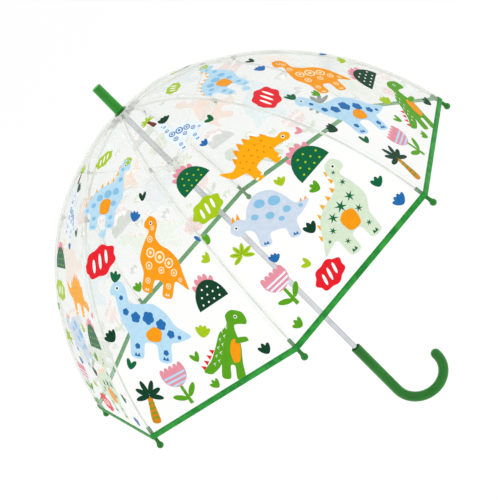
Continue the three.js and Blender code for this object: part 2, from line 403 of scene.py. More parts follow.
def undercoat_material():
    """Thin white ink under the colours, pale from inside; its emission is a painted glow that stands in for
    light shining through it from behind.
    """
    mat, tree, bsdf = shader("ink_undercoat", Roughness=0.6, Specular_IOR_Level=0.1)
    bsdf.inputs["Base Color"].default_value = linear((248, 248, 246))
    # painted glow: a white emission in place of light passing through the thin ink
    bsdf.inputs["Emission Color"].default_value = linear((248, 248, 246))
    bsdf.inputs["Emission Strength"].default_value = 0.42
    tree.links.new(span(tree, noise(tree, 120.0, 5.0), 0.5, 0.68), bsdf.inputs["Alpha"])
    return mat


def tape_material():
    """Folded woven tape: fine crossing threads and a soft sheen."""
    mat, tree, bsdf = shader("binding_tape", Roughness=0.62, Specular_IOR_Level=0.25)
    bsdf.inputs["Sheen Weight"].default_value = 0.08
    bsdf.inputs["Sheen Roughness"].default_value = 0.4
    coords = tree.nodes.new("ShaderNodeTexCoord")
    threads = []
    for direction in ("X", "Z"):
        wave = tree.nodes.new("ShaderNodeTexWave")
        wave.bands_direction = direction
        wave.inputs["Scale"].default_value = 380.0
        tree.links.new(coords.outputs["Object"], wave.inputs["Vector"])
        threads.append(wave.outputs["Fac"])
    both = tree.nodes.new("ShaderNodeMath")
    both.operation = "MULTIPLY"
    tree.links.new(threads[0], both.inputs[0])
    tree.links.new(threads[1], both.inputs[1])
    colour = ramp(tree, noise(tree, 90.0, 4.0), linear((4, 126, 38)), linear((44, 156, 54)))
    tree.links.new(colour, bsdf.inputs["Base Color"])
    bump(tree, bsdf, both.outputs["Value"], 0.5, 0.0003)
    return mat


# rim sets how strongly each plastic's edges carry the painted highlight and its middle the painted shade;
# 1.0 means none
green = plastic("green_plastic", (20, 122, 22))
tip_green = plastic("tip_green", (20, 126, 26), 0.28)
ferrule_green = plastic("ferrule_green", (36, 150, 34), 0.42)
white = plastic("white_plastic", (228, 230, 225), 0.45, rim=1.04)
rod_white = plastic("rib_glass_fibre", (226, 229, 221), 0.3, 500.0, rim=1.0)
chrome = metal("chrome_tube", (206, 210, 216), 0.16)
steel = metal("plated_steel", (206, 208, 204), 0.3, (1, 1, 1))
lacquer = plastic("white_lacquered_steel", (240, 243, 240), 0.3, 300.0, rim=1.0)
film = film_material()
weld = weld_material()
tape = tape_material()
thread = plastic("thread_green", (8, 96, 28), 0.7)

INKS = {
    "orange": (238, 148, 0), "amber": (242, 164, 0), "sky": (176, 212, 232), "blue": (30, 104, 170),
    "azure": (128, 184, 218), "lilac": (196, 209, 224), "leaf": (84, 156, 18), "lime": (160, 192, 16),
    "red": (222, 22, 38), "forest": (0, 58, 34), "pine": (0, 96, 56), "pink": (222, 140, 156),
    "mint": (206, 222, 198), "cream": (250, 250, 244), "trunk": (200, 128, 8), "frost": (224, 236, 246),
    "sand": (248, 222, 176),
}
ink_names = list(INKS)
ink_materials = [ink_material(n, rgb) for n, rgb in INKS.items()] + [undercoat_material()]
UNDERCOAT = len(INKS)

# ---------------------------------------------------------------- drawings
# A drawing is a list of (outline, ink, layer). Outlines are in millimetres, x to the right, y up,
# about 100 wide, and face left.


def curve(points, cuts=5):
    """A smooth closed outline through a few points."""
    out = []
    n = len(points)
    for i in range(n):
        p0, p1, p2, p3 = (points[(i + k - 1) % n] for k in range(4))
        for c in range(cuts):
            t = c / cuts
            a, b = 2 * t ** 3 - 3 * t ** 2 + 1, t ** 3 - 2 * t ** 2 + t
            d, e = -2 * t ** 3 + 3 * t ** 2, t ** 3 - t ** 2
            out.append(tuple(
                a * p1[k] + b * (p2[k] - p0[k]) * 0.42 + d * p2[k] + e * (p3[k] - p1[k]) * 0.42
                for k in (0, 1)
            ))
    return out


def oval(x, y, rx, ry=None, angle=0.0, count=18):
    ry = rx if ry is None else ry
    ca, sa = math.cos(math.radians(angle)), math.sin(math.radians(angle))
    ring = [(rx * math.cos(t), ry * math.sin(t)) for t in (2 * math.pi * i / count for i in range(count))]
    return [(x + p * ca - q * sa, y + p * sa + q * ca) for p, q in ring]


def band(x, y, rx, ry, wide, angle=0.0):
    """A ring drawn as two ovals: returns the outer and the inner outline."""
    return oval(x, y, rx, ry, angle), oval(x, y, rx - wide, ry - wide, angle)


def rays(x, y, inner, outer, count, turn=0.0):
    """A star or scalloped outline."""
    out = []
    for i in range(2 * count):
        r = outer if i % 2 else inner
        a = math.pi * i / count + turn
        out.append((x + r * math.cos(a), y + r * math.sin(a)))
    return out


def eye(x, y, size=1.6):
    return [(oval(x, y, size * 1.7), "cream", 3), (oval(x, y, size), "forest", 4)]


def marked(outline, skin, mark, marks, places):
    """A body with rings, stars, petals or plain dots on its side. Places are (x, y, radius)."""
    art = [(curve(outline), skin, 1)]
    for x, y, r in places:
        if marks == "rings":
            outer, inner = band(x, y, r * 1.15, r * 1.15, r * 0.36)
            art += [(outer, mark, 2), (inner, skin, 3), (oval(x, y, r * 0.4), mark, 4)]
        elif marks == "stars":
            art.append((rays(x, y, r * 0.35, r * 1.1, 6), mark, 2))
        elif marks == "petals":
            for k in range(5):
                a = 2 * math.pi * k / 5 + x
                petal = oval(x + r * 0.5 * math.cos(a), y + r * 0.5 * math.sin(a), r * 0.5, count=10)
                art.append((petal, mark, 2))
        else:
            art.append((oval(x, y, r * 1.05, r * 0.85), mark, 2))
    return art


def saw_back(points, ink, size=5.5):
    return [([(x - 3.4, y - 1.5), (x + 3.2, y - 2.5), (x + 1.2, y + size)], ink, 0) for x, y in points]


def toes(places, ink):
    art = []
    for x, y in places:
        zigzag = [(x - 4, y), (x - 2.2, y + 4.4), (x, y + 1), (x + 2.2, y + 4.4), (x + 4, y), (x, y - 0.2)]
        art.append((zigzag, ink, 3))
    return art


def long_neck(skin, mark, marks, belly=None, spikes=None):
    """A plain long-necked dinosaur on four legs, its neck reaching forward."""
    body = [
        (-55, 34), (-50, 43), (-40, 45), (-32, 37), (-26, 24), (-12, 24), (6, 27), (24, 19),
        (38, 6), (57, -2), (41, -12), (32, -16), (32, -37), (17, -38), (13, -20), (-2, -20),
        (-4, -38), (-20, -38), (-23, -15), (-35, 1), (-42, 16), (-47, 27), (-53, 28),
    ]
    places = [(-38, 27, 3), (-30, 12, 4.4), (-16, 8, 6.6), (1, 10, 8), (18, 5, 6.8), (31, -4, 5)]
    places += [(42, -6, 2.6), (-12, -25, 3.6), (25, -27, 3.6), (5, -11, 4.2)]
    art = marked(body, skin, mark, marks, places) + toes([(-12, -37), (25, -36)], mark)
    if belly:
        art.append((curve([(-1, -8), (9, 1), (19, -3), (17, -15), (3, -16)]), belly, 3))
    if spikes:
        back = [(-37, 42), (-29, 30), (-20, 25), (-8, 26), (4, 27), (16, 24), (28, 16), (38, 7)]
        art += saw_back(back, spikes)
    return art + eye(-45, 37)


def tall_neck(skin, mark, marks, belly=None, spikes=None):
    """A plain dinosaur on four legs that holds its neck up."""
    body = [
        (-36, 46), (-30, 55), (-19, 54), (-13, 45), (-12, 30), (0, 21), (18, 17), (35, 7),
        (47, -10), (59, -28), (45, -24), (35, -24), (34, -47), (19, -48), (16, -30), (2, -30),
        (0, -48), (-16, -48), (-19, -24), (-30, -6), (-29, 16), (-25, 34), (-35, 38),
    ]
    places = [(-20, 40, 3), (-20, 24, 4.2), (-14, 6, 6.4), (3, 4, 7.6), (20, 0, 6.4), (31, -11, 4.6)]
    places += [(-12, -12, 5), (-9, -33, 3.8), (26, -32, 3.8), (43, -18, 2.8), (10, -13, 4.4)]
    art = marked(body, skin, mark, marks, places) + toes([(-8, -47), (26.5, -46)], mark)
    if belly:
        art.append((curve([(-6, -8), (6, -3), (16, -9), (14, -25), (-2, -26)]), belly, 3))
    if spikes:
        back = [(-13, 44), (-11, 34), (-4, 25), (7, 21), (19, 18), (30, 11), (39, 2), (47, -9)]
        art += saw_back(back, spikes)
    return art + eye(-25, 46)


def round_back(skin, spots, horns, hoof):
    """A plain dinosaur with a high round back and a low head."""
    body = [
        (-58, -6), (-53, 6), (-41, 9), (-33, 6), (-26, 22), (-10, 37), (12, 37), (28, 24), (40, 8),
        (60, 8), (46, -7), (34, -16), (34, -37), (19, -38), (15, -23), (-6, -23), (-9, -38),
        (-24, -38), (-26, -17), (-36, -10), (-48, -15),
    ]
    places = [(-8, 22, 7.5), (13, 20, 8.5), (26, 3, 5.5), (1, 1, 6), (-20, 5, 5), (15, -8, 4), (46, 2, 3)]
    art = marked(body, skin, spots, "dots", places) + toes([(-16, -37), (27, -36)], hoof)
    art += saw_back([(-50, 8), (-43, 10)], horns, 9) + saw_back([(48, 7), (55, 8)], horns)
    return art + eye(-49, -2)


def plated(skin, plate, spot):
    """A plain plated dinosaur, low head, arched back."""
    body = [
        (-54, -14), (-47, -5), (-36, -4), (-27, 12), (-9, 24), (11, 23), (28, 12), (41, 7),
        (56, 19), (50, -1), (36, -8), (30, -12), (29, -31), (17, -32), (14, -15), (-5, -15),
        (-8, -32), (-20, -31), (-22, -15), (-36, -17), (-48, -21),
    ]
    art = [(curve(body), skin, 1)]
    for k in range(7):
        x = -26 + 10.5 * k
        y = 25 - 0.021 * (x - 2) ** 2
        art.append((curve([(x - 5, y - 4), (x, y + 9), (x + 5, y - 4)], 3), plate, 0))
    for i in range(5):
        for j in range(3):
            x, y = -20 + 11 * i + 4 * (j % 2), -6 + 9 * j - 0.01 * (10 * i - 20) ** 2
            art.append((rays(x, y, 0.9, 2.1, 4, 0.4), spot, 2))
    for x in (-19, -3.5, 17, 27):
        art.append((oval(x, -28, 2.6, 1.4), "cream", 2))
    return art + eye(-44, -12)


def upright(skin, belly, stripe, spike):
    """A plain two-legged dinosaur."""
    body = [
        (-34, 44), (-27, 54), (-10, 55), (-1, 46), (-3, 32), (9, 18), (16, -4), (24, -26),
        (36, -44), (24, -47), (12, -36), (8, -30), (8, -50), (-5, -50), (-6, -30), (-13, -30),
        (-15, -50), (-28, -50), (-25, -22), (-24, 4), (-17, 22), (-15, 33), (-24, 36), (-33, 37),
    ]
    art = [(curve(body), skin, 1)]
    art.append((curve([(-20, 12), (-10, 10), (-7, -8), (-12, -24), (-21, -20), (-23, -2)]), belly, 2))
    art.append((curve([(-17, 14), (-32, 18), (-36, 13), (-31, 10), (-17, 6)]), skin, 3))
    for k in range(5):
        for j in range(2):
            x, y = 2 + 3.4 * k - 7 * j, 22 - 13 * k + 6 * j
            art.append(([(x, y + 3), (x + 5, y), (x + 1, y - 4), (x + 2.6, y - 0.5)], stripe, 2))
    for k in range(4):
        x, y = 19 + 4.6 * k, -12 - 9 * k
        art.append(([(x - 1, y + 3), (x + 8, y + 3), (x + 2, y - 4)], spike, 0))
    return art + eye(-17, 46)


def dome_cactus(skin, dots, crest):
    """A half-round cactus with rows of dots and a flower on top."""
    dome = [(34 * math.cos(math.pi * i / 14), 44 * math.sin(math.pi * i / 14) - 18) for i in range(15)]
    art = [(dome, skin, 1)]
    for j in range(3):
        for i in range(4):
            x, y = -21 + 13 * i + 5 * (j % 2), -11 + 12 * j
            if (x / 30) ** 2 + ((y + 18) / 38) ** 2 < 0.9:
                art.append((oval(x, y, 1.9, count=8), dots, 2))
    for k in range(5):
        x = -17 + 8.5 * k
        art.append((oval(x, 27 - 0.035 * x * x, 11, 5.4, 90 - 1.6 * x), crest, 0))
    return art


def palm(leaf, stem, rings):
    art = [(curve([(-10, -50), (10, -50), (7, -10), (5, 6), (-5, 6), (-7, -10)]), stem, 1)]
    for k in range(4):
        y = 11 * k
        art.append(([(-8, y - 43), (8, y - 40), (7.5, y - 37), (-7.5, y - 40)], rings, 2))
    for k, angle in enumerate((-12, 28, 66, 112, 150, 192)):
        a = math.radians(angle)
        long = 20 if k in (2, 3) else 17
        art.append((oval(long * math.cos(a), 10 + long * math.sin(a), 17, 6, angle), leaf, 3))
    return art


def flower(outer, stripe, stem):
    angles = [math.pi * (1 + i / 12) for i in range(13)]
    cup = [(27 * math.cos(a), 27 * math.sin(a) + 14) for a in angles]
    art = [(cup + [(27, 17), (-27, 17)], outer, 1)]
    for k in range(5):
        art.append((oval(-21 + 10.5 * k, 19, 5.4, 9.5), outer, 0))
    for k in range(3):
        y = 11 - 8.5 * k
        reach = math.sqrt(27 ** 2 - (y - 14) ** 2) - 1.5
        art.append(([(-reach, y), (reach, y), (reach - 2, y - 3.8), (-reach + 2, y - 3.8)], stripe, 2))
    art.append(([(-3, -12), (3, -12), (4, -50), (-4, -50)], stem, 0))
    art.append((oval(-15, -32, 15, 5.5, -28), stem, 1))
    art.append((oval(15, -27, 15, 5.5, 42), stem, 1))
    return art


def badge(skin, mark):
    """A plain wavy badge with three slanting strokes. It carries no words."""
    wavy = []
    for i in range(60):
        a = 2 * math.pi * i / 60
        r = 1 + 0.07 * math.sin(7 * a)
        wavy.append((49 * r * math.cos(a), 33 * r * math.sin(a)))
    art = [(wavy, skin, 1)]
    for k in range(3):
        x = -21 + 21 * k
        art.append((oval(x, 0, 18 - 2 * abs(k - 1), 4.2, 66), mark, 2))
    return art


def tuft(skin, lobes=3):
    art = []
    for k in range(lobes):
        angle = 90 + (k - (lobes - 1) / 2) * (110 / max(lobes, 2))
        a = math.radians(angle)
        art.append((oval(24 * math.cos(a), 24 * math.sin(a) - 16, 30, 13, angle), skin, 1))
    return art


def hand_leaf(skin, vein):
    art = []
    for k, angle in enumerate((-25, 20, 65, 110, 155, 205)):
        a = math.radians(angle)
        art.append((oval(25 * math.cos(a), 25 * math.sin(a), 24, 9, angle), skin, 1))
        art.append((oval(24 * math.cos(a), 24 * math.sin(a), 17, 1.3, angle), vein, 2))
    return art


# Each entry: drawing, width as a share of its own 100 mm, distance down the panel and across it
# in millimetres, turn in degrees, and whether it faces right.
DESIGN_ONE = [
    (palm("lime", "forest", "red"), 0.32, 98, -7, 0, False),
    (tall_neck("frost", "blue", "rings"), 0.62, 160, -1, -20, False),
    (dome_cactus("pine", "lime", "pink"), 0.70, 226, -46, 0, False),
    (plated("amber", "orange", "trunk"), 0.9, 272, 30, -2, True),
    (badge("lime", "cream"), 0.46, 272, -64, 0, False),
    (round_back("lilac", "azure", "orange", "blue"), 0.9, 340, -24, -32, False),
    (dome_cactus("pine", "lime", "pink"), 0.78, 330, 62, 0, False),
    (tall_neck("mint", "pine", "stars", "orange", "amber"), 1.04, 404, 46, -6, True),
    (badge("red", "cream"), 0.46, 443, -31, 2, False),
    (hand_leaf("lime", "leaf"), 0.32, 346, -84, -20, False),
    (flower("pink", "frost", "leaf"), 0.66, 404, -82, -6, False),
    (tuft("pine"), 0.24, 416, 98, -20, False),
    (tuft("lime"), 0.22, 322, 19, -30, False),
    (tuft("leaf"), 0.24, 361, 42, 20, False),
    (tuft("blue", 4), 0.26, 452, 100, 0, False),
    (tuft("forest"), 0.26, 390, -3, -12, False),
    (tuft("lime", 2), 0.22, 414, -40, 30, False),
    (tuft("pine", 2), 0.22, 186, 36, 20, False),
    (tuft("leaf"), 0.22, 454, -104, 10, False),
    (tuft("forest", 4), 0.24, 122, 4, -30, False),
    (tuft("blue"), 0.18, 206, 4, 0, False),
    (tuft("pink", 2), 0.18, 296, 88, 30, False),
    (tuft("blue", 4), 0.20, 380, -62, -30, False),
    (tuft("leaf", 4), 0.22, 300, -98, 10, False),
]
DESIGN_TWO = [
    (badge("lime", "cream"), 0.34, 92, -14, 8, False),
    (tall_neck("sky", "azure", "dots", "orange", "amber"), 0.9, 160, -12, -26, True),
    (badge("red", "cream"), 0.58, 236, -57, 4, False),
    (tall_neck("orange", "sand", "rings"), 0.92, 281, 28, -44, False),
    (long_neck("sky", "blue", "petals", "orange"), 1.14, 346, -34, -38, False),
    (dome_cactus("forest", "cream", "pink"), 0.72, 356, 71, 0, False),
    (upright("leaf", "orange", "mint", "red"), 0.88, 421, 50, -36, True),
    (flower("pink", "sky", "leaf"), 0.72, 424, -40, -4, False),
    (palm("forest", "trunk", "leaf"), 0.62, 428, -93, -24, False),
    (tuft("pine"), 0.26, 268, -45, -40, False),
    (tuft("leaf"), 0.22, 298, -18, 0, False),
    (tuft("forest", 4), 0.28, 332, -92, 10, False),
    (tuft("lime", 4), 0.28, 392, 33, -36, False),
    (tuft("leaf", 2), 0.24, 414, 3, 0, False),
    (tuft("pine", 2), 0.26, 376, -88, -50, False),
    (tuft("forest"), 0.26, 452, 94, 0, False),
    (tuft("lime"), 0.22, 318, 94, 30, False),
    (tuft("forest", 2), 0.22, 196, 42, -20, False),
    (tuft("leaf"), 0.22, 456, 4, 12, False),
    (tuft("blue", 4), 0.24, 214, 20, -40, False),
    (tuft("sky"), 0.22, 206, -38, 0, False),
    (tuft("lime", 4), 0.22, 130, 30, -30, False),
    (tuft("blue", 2), 0.2, 290, 98, 10, False),
]


def flat_print(design):
    """One panel's print, flat: x is across the panel and y is the distance from the hinge."""
    bm = bmesh.new()
    for art, scale, down, across, turn, right in design:
        ca, sa = math.cos(math.radians(turn)), math.sin(math.radians(turn))
        for outline, ink, layer in art:
            verts = []
            for x, y in outline:
                x = -x if right else x
                px, py = scale * (x * ca - y * sa), scale * (x * sa + y * ca)
                verts.append(((across + px) * MM, (down - py) * MM))
            sheets = [(layer * LAYER_LIFT, ink_names.index(ink))]
            if layer < 2:
                sheets.append(((layer - 1.2) * LAYER_LIFT, UNDERCOAT))
            for lift, material in sheets:
                face = bm.faces.new([bm.verts.new((x, y, lift)) for x, y in verts])
                face.material_index = material
    bm.normal_update()
    bmesh.ops.triangulate(bm, faces=bm.faces[:], ngon_method="EAR_CLIP")
    for k in range(8, 60):
        geometry = bm.verts[:] + bm.edges[:] + bm.faces[:]
        bmesh.ops.bisect_plane(bm, geom=geometry, plane_co=(0, k * 8 * MM, 0), plane_no=(0, 1, 0))
    return bm


def keep_side(bm, point, normal):
    """Keeps the part of bm that lies on the normal's side of a plane."""
    geometry = bm.verts[:] + bm.edges[:] + bm.faces[:]
    bmesh.ops.bisect_plane(bm, geom=geometry, plane_co=point, plane_no=normal, clear_inner=True, dist=1e-7)


FLEX_NORMAL = Vector((math.cos(SLOPES[1]), 0, -math.sin(SLOPES[1])))


def add_mesh(target, source):
    """Copies source's faces into target with their materials."""
    made = {v: target.verts.new(v.co) for v in source.verts}
    for f in source.faces:
        target.faces.new([made[v] for v in f.verts]).material_index = f.material_index


def print_on_sector(designs, lower):
    """The print on one rib's sector, in rib 1's place: designs are those of its right and left panel."""
    whole = bmesh.new()
    for side, design in zip((1, -1), designs):
        bm = flat_print(design)
        keep_side(bm, (0, 0, 0), (-side, 0, 0))
        for v in bm.verts:
            s, across, lift = v.co.y, v.co.x, v.co.z
            limit = half_width(s) - 1.5 * MM
            across = max(-limit, min(limit, across))
            v.co = panel_point(s, across, side * HALF, PRINT_LIFT + lift)
        add_mesh(whole, bm)
        bm.free()
        for near, far in ((2.9, 3.5), (5.0, 5.4)):
            rows = []
            for k in range(61):
                s = (14 + (448 * k) / 60) * MM
                places = [-side * (half_width(s) - d * MM) for d in (near, far)]
                rows.append([panel_point(s, v, side * HALF, PRINT_LIFT / 2) for v in places])
            loft(whole, rows, close=False, cap=False, material=len(ink_materials))
    keep_side(whole, flex, FLEX_NORMAL if lower else -FLEX_NORMAL)
    bmesh.ops.dissolve_degenerate(whole, edges=whole.edges[:], dist=1e-6)
    return whole


def film_on_sector(lower):
    bm = bmesh.new()
    for side in (1, -1):
        rows = []
        for k in range(76):
            s = FILM_START + (RIB_LENGTH - 2 * MM - FILM_START) * k / 75
            w = half_width(s)
            shares = [i / 12 for i in range(13)]
            rows.append([panel_point(s, -side * w * (1 - t), side * HALF) for t in shares])
        loft(bm, rows, close=False, cap=False)
    bmesh.ops.remove_doubles(bm, verts=bm.verts, dist=1e-6)
    keep_side(bm, flex, FLEX_NORMAL if lower else -FLEX_NORMAL)
    bmesh.ops.recalc_face_normals(bm, faces=bm.faces)
    return bm


# ---------------------------------------------------------------- canopy

NAMES = {False: "upper", True: "lower"}


def rib_names(number):
    return f"rib_{number}", f"rib_{number}_end"


def across(number):
    a = (number - 1) * STEP
    return (-math.sin(a), math.cos(a), 0)


def fold_with(piece, body):
    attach(piece, body)
    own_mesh(piece)


for lower in (False, True):
    film_master = mesh_object("film_master", film_on_sector(lower), [film])
    prints = []
    for designs in ((DESIGN_ONE, DESIGN_TWO), (DESIGN_TWO, DESIGN_ONE)):
        bm = print_on_sector(designs, lower)
        prints.append(mesh_object("print_master", bm, ink_materials + [weld], smooth=False))
    for number in range(1, RIBS + 1):
        body = rib_names(number)[1 if lower else 0]
        ink = copy_turned(prints[(number - 1) % 2], f"print_{number}_{NAMES[lower]}", number - 1)
        skin = copy_turned(film_master, f"film_{number}_{NAMES[lower]}", number - 1)
        fold_with(ink, body)
        fold_with(skin, body)
        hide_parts(f"canopy_{number}")
    for master in [film_master] + prints:
        drop(master)

# ---------------------------------------------------------------- rim binding


def binding():
    """Tape folded over the film's edge: a flat loop in section, along the flat rim edges of one sector."""
    half, thick = BINDING_WIDTH / 2, 0.62 * MM
    section = []
    for k in range(20):
        a = 2 * math.pi * k / 20
        ca, sa = math.cos(a), math.sin(a)
        along, through = math.copysign(abs(ca) ** 0.25, ca), math.copysign(abs(sa) ** 0.8, sa)
        section.append((half * along, thick * through))
    bm = bmesh.new()
    rings = []
    for k in range(-30, 31):
        side = -1 if k < 0 else 1
        share = 1 - abs(k) / 30
        ring = []
        for ds, lift in section:
            s = RIB_LENGTH + ds
            v = -side * half_width(s) * share
            ring.append(panel_point(s, v, side * HALF, lift * (1 + 0.06 * math.sin(2.1 * k))))
        rings.append(ring)
    loft(bm, rings)
    bmesh.ops.recalc_face_normals(bm, faces=bm.faces)
    return bm


def stitches():
    """A row of short stitches near the tape's upper edge, on both faces."""
    bm = bmesh.new()
    width = 2 * half_width(RIB_LENGTH)
    count = int(width / 2 / (3.2 * MM))
    for side in (1, -1):
        for k in range(count):
            v = -side * (k + 0.5) / count * half_width(RIB_LENGTH)
            for lift, face in ((0.66 * MM, 1), (-0.66 * MM, -1)):
                s = RIB_LENGTH - 2.5 * MM
                a = panel_point(s, v - 1.05 * MM, side * HALF, lift)
                b = panel_point(s, v + 1.05 * MM, side * HALF, lift)
                along = (b - a).normalized()
                surface = panel_point(s, v, side * HALF, lift)
                out = (panel_point(s, v, side * HALF, lift + face * MM) - surface).normalized()
                up = along.cross(out)
                rings = []
                for t, r in ((0, 0.1), (0.2, 0.26), (0.8, 0.26), (1, 0.1)):
                    c = a.lerp(b, t)
                    rings.append([c + (out * math.cos(q) + up * math.sin(q)) * r * MM
                                  for q in (2 * math.pi * i / 6 for i in range(6))])
                loft(bm, rings)
    bmesh.ops.recalc_face_normals(bm, faces=bm.faces)
    return bm


binding_master = mesh_object("binding_master", binding(), [tape])
stitch_master = mesh_object("stitch_master", stitches(), [thread])
for number in range(1, RIBS + 1):
    strip = copy_turned(binding_master, f"rim_binding_{number}", number - 1)
    seam = copy_turned(stitch_master, f"rim_stitches_{number}", number - 1)
    for piece in (strip, seam):
        fold_with(piece, f"rib_{number}_end")
    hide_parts(f"binding_{number}")
drop(binding_master)
drop(stitch_master)

# ---------------------------------------------------------------- ribs and tips


def rib_rod():
    """The glass-fibre rod of one rib, from its crown lug into its tip."""
    bm = bmesh.new()
    points, normals = [], []
    for k in range(97):
        s = (7 + (469 * k) / 96) * MM
        x, z, slope = rib_at(s)
        points.append(Vector((x, 0, z)))
        normals.append(Vector((math.sin(slope), 0, math.cos(slope))))
    loft(bm, sweep_rings(points, normals, ROD_R, 16))
    bmesh.ops.recalc_face_normals(bm, faces=bm.faces)
    return bm


def rounded_plate(outline, thick, bevel):
    """A flat plate in the XZ plane with eased edges, from an outline of (x, z) points."""
    bm = bmesh.new()
    face = bm.faces.new([bm.verts.new((x, -thick / 2, z)) for x, z in outline])
    made = bmesh.ops.extrude_face_region(bm, geom=[face])["geom"]
    bmesh.ops.translate(bm, vec=(0, thick, 0), verts=[g for g in made if isinstance(g, bmesh.types.BMVert)])
    bmesh.ops.recalc_face_normals(bm, faces=bm.faces)
    rim = [e for e in bm.edges if abs(e.verts[0].co.y - e.verts[1].co.y) < 1e-9]
    bmesh.ops.bevel(bm, geom=rim, offset=bevel, segments=2, affect="EDGES")
    return bm


def half_round(x, z, r, start, end, steps=10):
    angles = [start + (end - start) * i / steps for i in range(steps + 1)]
    return [(x + r * math.cos(a), z + r * math.sin(a)) for a in angles]


def crown_lug():
    """The flattened metal eye crimped on the rod, on the crown wire."""
    x0, z0 = hinge.x, hinge.z
    outline = half_round(x0, z0, 2.6 * MM, math.pi / 2, 1.5 * math.pi)
    outline += [(x0 + 8 * MM, z0 - 2.2 * MM), (x0 + 8 * MM, z0 + 1.2 * MM)]
    bm = rounded_plate(outline, 2.2 * MM, 0.3 * MM)
    points, normals = [], []
    for k in range(9):
        x, z, slope = rib_at((7 + 1.6 * k) * MM)
        points.append(Vector((x, 0, z)))
        normals.append(Vector((math.sin(slope), 0, math.cos(slope))))
    radii = [1.9, 2.05, 2.05, 1.75, 2.05, 2.05, 1.75, 2.05, 1.8]
    loft(bm, sweep_rings(points, normals, lambda i: radii[i] * MM, 16))
    return bm


def stretcher_ear():
    """The clip round the rod that carries the stretcher's rivet."""
    at = 165 * MM
    x, z, slope = rib_at(at)
    outward = Vector((math.sin(slope), 0, math.cos(slope)))
    along = Vector((math.cos(slope), 0, -math.sin(slope)))
    points = [Vector((x, 0, z)) + along * d * MM for d in (-4, -3.6, -1.2, 1.2, 3.6, 4)]
    bm = bmesh.new()
    radii = [1.65, 1.95, 2.05, 2.05, 1.95, 1.65]
    loft(bm, sweep_rings(points, [outward] * 6, lambda i: radii[i] * MM, 16))
    local = half_round(0, 0, 2.0 * MM, math.pi, 2 * math.pi) + [(2 * MM, 4 * MM), (-2 * MM, 4 * MM)]
    plate_outline = []
    for p, q in local:
        spot = pivot + along * p + outward * q
        plate_outline.append((spot.x, spot.z))
    ear = rounded_plate(plate_outline, 1.6 * MM, 0.2 * MM)
    add_mesh(bm, ear)
    ear.free()
    bmesh.ops.recalc_face_normals(bm, faces=bm.faces)
    return bm


def rib_tip():
    """Sleeve, neck and ball in one moulding, along the rib's last stretch."""
    ball_r, ball_at, neck = 4.7 * MM, 15.4 * MM, 2.6 * MM
    start = math.asin(neck / ball_r)
    profile = [(1.9 * MM, 2 * MM), (1.9 * MM, -14 * MM), (2.3 * MM, -14 * MM), (neck, -13.6 * MM)]
    profile += [(neck, z * MM) for z in (-9.3, -8.9)]
    profile += [(neck + 0.14 * MM, z * MM) for z in (-8.6, -7.8)]
    profile += [(neck, z * MM) for z in (-7.5, 2, 8.5)]
    profile += [(neck + 0.25 * MM, 10.4 * MM)]
    for k in range(1, 18):
        a = -math.pi / 2 + start + (math.pi - start) * k / 17
        profile.append((max(ball_r * math.cos(a), 0.0), ball_at + ball_r * math.sin(a)))
    profile.append((0.0, 2 * MM))
    tip = lathe("tip_master", profile, tip_green, 32)
    x, z, slope = rib_at(RIB_LENGTH)
    turn = Matrix.Rotation(math.pi / 2 + slope, 4, "Y")
    tip.data.transform(Matrix.Translation((x, 0, z)) @ turn)
    return tip


rod_master = mesh_object("rod_master", rib_rod(), [rod_white])
lug_master = mesh_object("lug_master", crown_lug(), [steel], smooth=False)
ear_master = mesh_object("ear_master", stretcher_ear(), [steel], smooth=False)
tip_master = rib_tip()
for number in range(1, RIBS + 1):
    inner, outer = rib_names(number)
    rod = copy_turned(rod_master, f"rib_rod_{number}", number - 1)
    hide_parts(f"rib_{number}_inner", f"rib_{number}_outer")
    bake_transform(rod)
    for master, name in ((lug_master, "rib_lug"), (ear_master, "rib_clip")):
        piece = copy_turned(master, f"{name}_{number}", number - 1)
        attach(piece, inner)
    tip = copy_turned(tip_master, f"tip_{number}", number - 1)
    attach(tip, outer)
    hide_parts(f"rib_tip_{number}")
for master in (rod_master, lug_master, ear_master, tip_master):
    drop(master)

# ---------------------------------------------------------------- shaft, hub, runner, ferrule


def root_piece(obj, node):
    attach(obj, "root")
    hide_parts(node)
    return obj


low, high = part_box("shaft")
shaft_r = high[0]
shaft_bore = shaft_r - 0.7 * MM
shaft = lathe(
    "shaft_tube",
    [(shaft_bore, low[2]), (shaft_r, low[2]), (shaft_r, high[2]), (shaft_bore, high[2])],
    chrome, 96,
)
slots = []
for node in ("top_catch", "bottom_catch"):
    a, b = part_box(node)
    slots.append(((0, 4.5 * MM, (a[2] + b[2]) / 2), (2.8 * MM, 7 * MM, 12.6 * MM), 0.0))
cut_boxes(shaft, slots)
root_piece(shaft, "shaft")

low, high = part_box("ferrule")
base, top = low[2], high[2]
ferrule_r = high[0]
ferrule_profile = [
    (0, top - 12 * MM), (4.3 * MM, top - 12 * MM), (4.3 * MM, base), (ferrule_r - 0.5 * MM, base),
    (ferrule_r - 0.12 * MM, base + 0.15 * MM), (ferrule_r, base + 0.6 * MM),
    (ferrule_r - 0.03 * MM, base + 4 * MM),
    (ferrule_r - 0.25 * MM, base + 4.5 * MM), (ferrule_r - 0.08 * MM, base + 5 * MM),
    (6.85 * MM, top - 1.4 * MM), (6.7 * MM, top - 0.6 * MM), (6.2 * MM, top - 0.12 * MM),
    (5.6 * MM, top), (1.1 * MM, top), (0.6 * MM, top - 0.35 * MM), (0, top - 0.4 * MM),
]
root_piece(lathe("ferrule_cap", ferrule_profile, ferrule_green), "ferrule")

low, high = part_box("canopy_washer")
washer_r = high[0]
washer_profile = [
    (4.4 * MM, low[2]), (washer_r - 0.8 * MM, low[2]), (washer_r - 0.1 * MM, low[2] + 0.12 * MM),
    (washer_r, low[2] + 0.35 * MM), (washer_r - 0.5 * MM, high[2] - 0.2 * MM),
    (washer_r - 1.2 * MM, high[2]),
    (4.4 * MM, high[2]),
]
root_piece(lathe("washer_ring", washer_profile, green), "canopy_washer")

